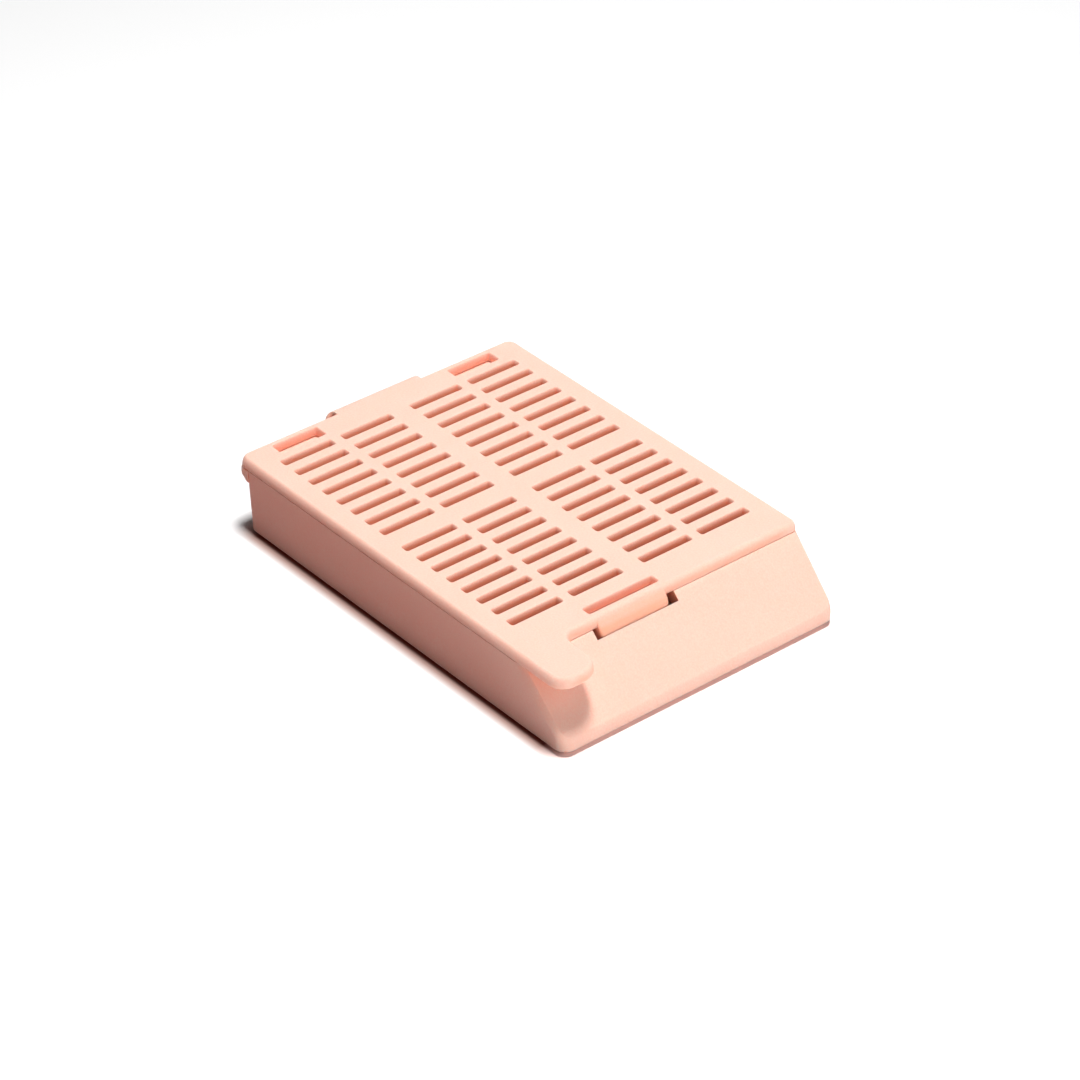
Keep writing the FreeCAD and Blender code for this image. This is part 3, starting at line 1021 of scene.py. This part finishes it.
print("acetal has", len(finish.tree.nodes), "nodes")

# %% [markdown]
# ## The table
# The cassette lies on a white table. A Light Path node gives the camera one colour and the light on its
# way to the object another. The camera sees white, with painted shadow beside the walls, darker and pink,
# and a deep red painted shadow in the narrow gap below them, on top of the shadow that the lamps cast.
# Along the lip it sees a colour above white, painted light which thins the shadow there. What the table
# throws back at the object is weak close to the walls, where the tray keeps the light from it. In front,
# below the slope, it is more than a real white surface gives.

# %% Lay the table
FLOOR_SIZE = 3.0
bpy.ops.object.select_all(action="DESELECT")
bpy.ops.mesh.primitive_plane_add(size=FLOOR_SIZE, location=(0, 0, 0))
floor = bpy.context.object
floor.name = "floor"
paper = bpy.data.materials.new("white_table")
floor.data.materials.append(paper)
print("table", FLOOR_SIZE, "m wide")

# %% Tell what is seen from what lights the object
SEEN_BY = ("Is Camera Ray", "Is Glossy Ray", "Is Transmission Ray")


def seen_directly(finish):
    """1 for rays that come from the camera, a mirror or glass, and 0 for light on its way to the object."""
    camera_ray, glossy_ray, clear_ray = [finish.node("ShaderNodeLightPath", output=name) for name in SEEN_BY]
    return camera_ray.at_least(glossy_ray).at_least(clear_ray)


# %% Set the light that the table throws back
BOUNCE_NEAR = (0.05, 0.02, 0.02, 1)
BOUNCE_SIDE = (0.55, 0.25, 0.2, 1)
BOUNCE_FRONT = (1.35, 1.35, 1.35, 1)
BOUNCE_REACH = 4 * MM
finish = Finish(paper)
across, depth = finish.place()[1:3]
near_side = finish.within(across, half_width, BOUNCE_REACH)
in_front = finish.ramp(depth, front + MM, front - 2 * MM)
bounce = finish.blend(near_side, BOUNCE_SIDE, BOUNCE_NEAR)
bounce = finish.blend(in_front, bounce, BOUNCE_FRONT)
print("nodes so far:", len(finish.tree.nodes))

# %% Colour what is seen of the table
SEEN = (1.0, 1.0, 1.0, 1)
# Painted shadow: darker and pink beside the walls, deep red in the gap below them; painted light, above
# white, along the lip.
PAINTED_SHADOW_BESIDE = (0.88, 0.63, 0.56, 1)
PAINTED_SHADOW_BELOW = (0.4, 0.09, 0.06, 1)
PAINTED_LIGHT_AT_LIP = (1.5, 1.12, 1.05, 1)
along = finish.ramp(depth, front + 0.5 * MM, front + 2.5 * MM)
along = along * finish.ramp(depth, flange_back, flange_back - 2 * MM)
painted_shadow_side = finish.within(across, half_width + 0.1 * MM, 0.65 * MM)
below = finish.within(across, half_width - 0.4 * MM, 0.4 * MM)
at_lip = finish.within(across, half_width, MM) * (1 - in_front) * (1 - along)
at_lip = at_lip * finish.ramp(depth, 0, -MM)
# Lay the painted shadow beside and below the walls and the painted light along the lip over the white.
seen = finish.blend(painted_shadow_side * along, SEEN, PAINTED_SHADOW_BESIDE)
seen = finish.blend(below * along, seen, PAINTED_SHADOW_BELOW)
seen = finish.blend(at_lip, seen, PAINTED_LIGHT_AT_LIP)
floor_colour = finish.blend(seen_directly(finish), bounce, seen)
surface = finish.node("ShaderNodeBsdfDiffuse", sockets={"Color": floor_colour})
finish.node("ShaderNodeOutputMaterial", sockets={"Surface": surface})
print("the table has", len(finish.tree.nodes), "nodes")

# %% [markdown]
# ## The lights
# A small softbox hangs close above the front of the object, so the finger tab throws its shadow straight
# down on the slope, the side walls are in shade and the light falls off towards the back. Two larger,
# weaker ones stand in front, to the right and to the left, and fill the slope and the near faces. Together
# they light the top faces to about 1.3 times plain white, so a colour renders brighter than it is written.

# %% Hang the softboxes
def softbox(name, side, height, distance, size, level, aim):
    """A square area light. Side is its compass angle from the front, towards the right, and height its
    angle above the table, in degrees. At level 1 it lights a white surface that faces it to plain white."""
    side = math.radians(side)
    height = math.radians(height)
    toward = Vector((math.sin(side), -math.cos(side), 0)) * math.cos(height)
    toward.z = math.sin(height)
    lamp_data = bpy.data.lights.new(name, "AREA")
    lamp_data.shape = "SQUARE"
    lamp_data.size = size
    lamp_data.energy = level * (math.pi * distance) ** 2
    lamp = bpy.data.objects.new(name, lamp_data)
    bpy.context.collection.objects.link(lamp)
    turn = toward.to_track_quat("Z", "Y").to_matrix().to_4x4()
    lamp.matrix_world = Matrix.Translation(Vector(aim) + toward * distance) @ turn
    print(name, f"{lamp_data.energy:.3f} W")


above_front = (0, front, top)
above_middle = (0, 0, top)
softbox("key", side=0, height=90, distance=0.3, size=0.07, level=1.19, aim=above_front)
softbox("fill", side=20, height=32, distance=0.5, size=0.35, level=0.18, aim=above_middle)
softbox("left fill", side=-25, height=35, distance=0.5, size=0.35, level=0.12, aim=above_middle)

# %% [markdown]
# The room is white to the eye and nearly dark to the object, again with Light Path: a white world would
# light every shadow away.

# %% Light the room
ROOM = 0.03
WHITE = (1, 1, 1, 1)
DIM = (ROOM, ROOM, ROOM, 1)
world = bpy.data.worlds.new("room")
bpy.context.scene.world = world
finish = Finish(world)
room_colour = finish.blend(seen_directly(finish), DIM, WHITE)
light = finish.node("ShaderNodeBackground", sockets={"Color": room_colour, "Strength": 1.0})
finish.node("ShaderNodeOutputWorld", sockets={"Surface": light})
bpy.context.scene.view_settings.view_transform = "Standard"
print("the room has", len(finish.tree.nodes), "nodes")
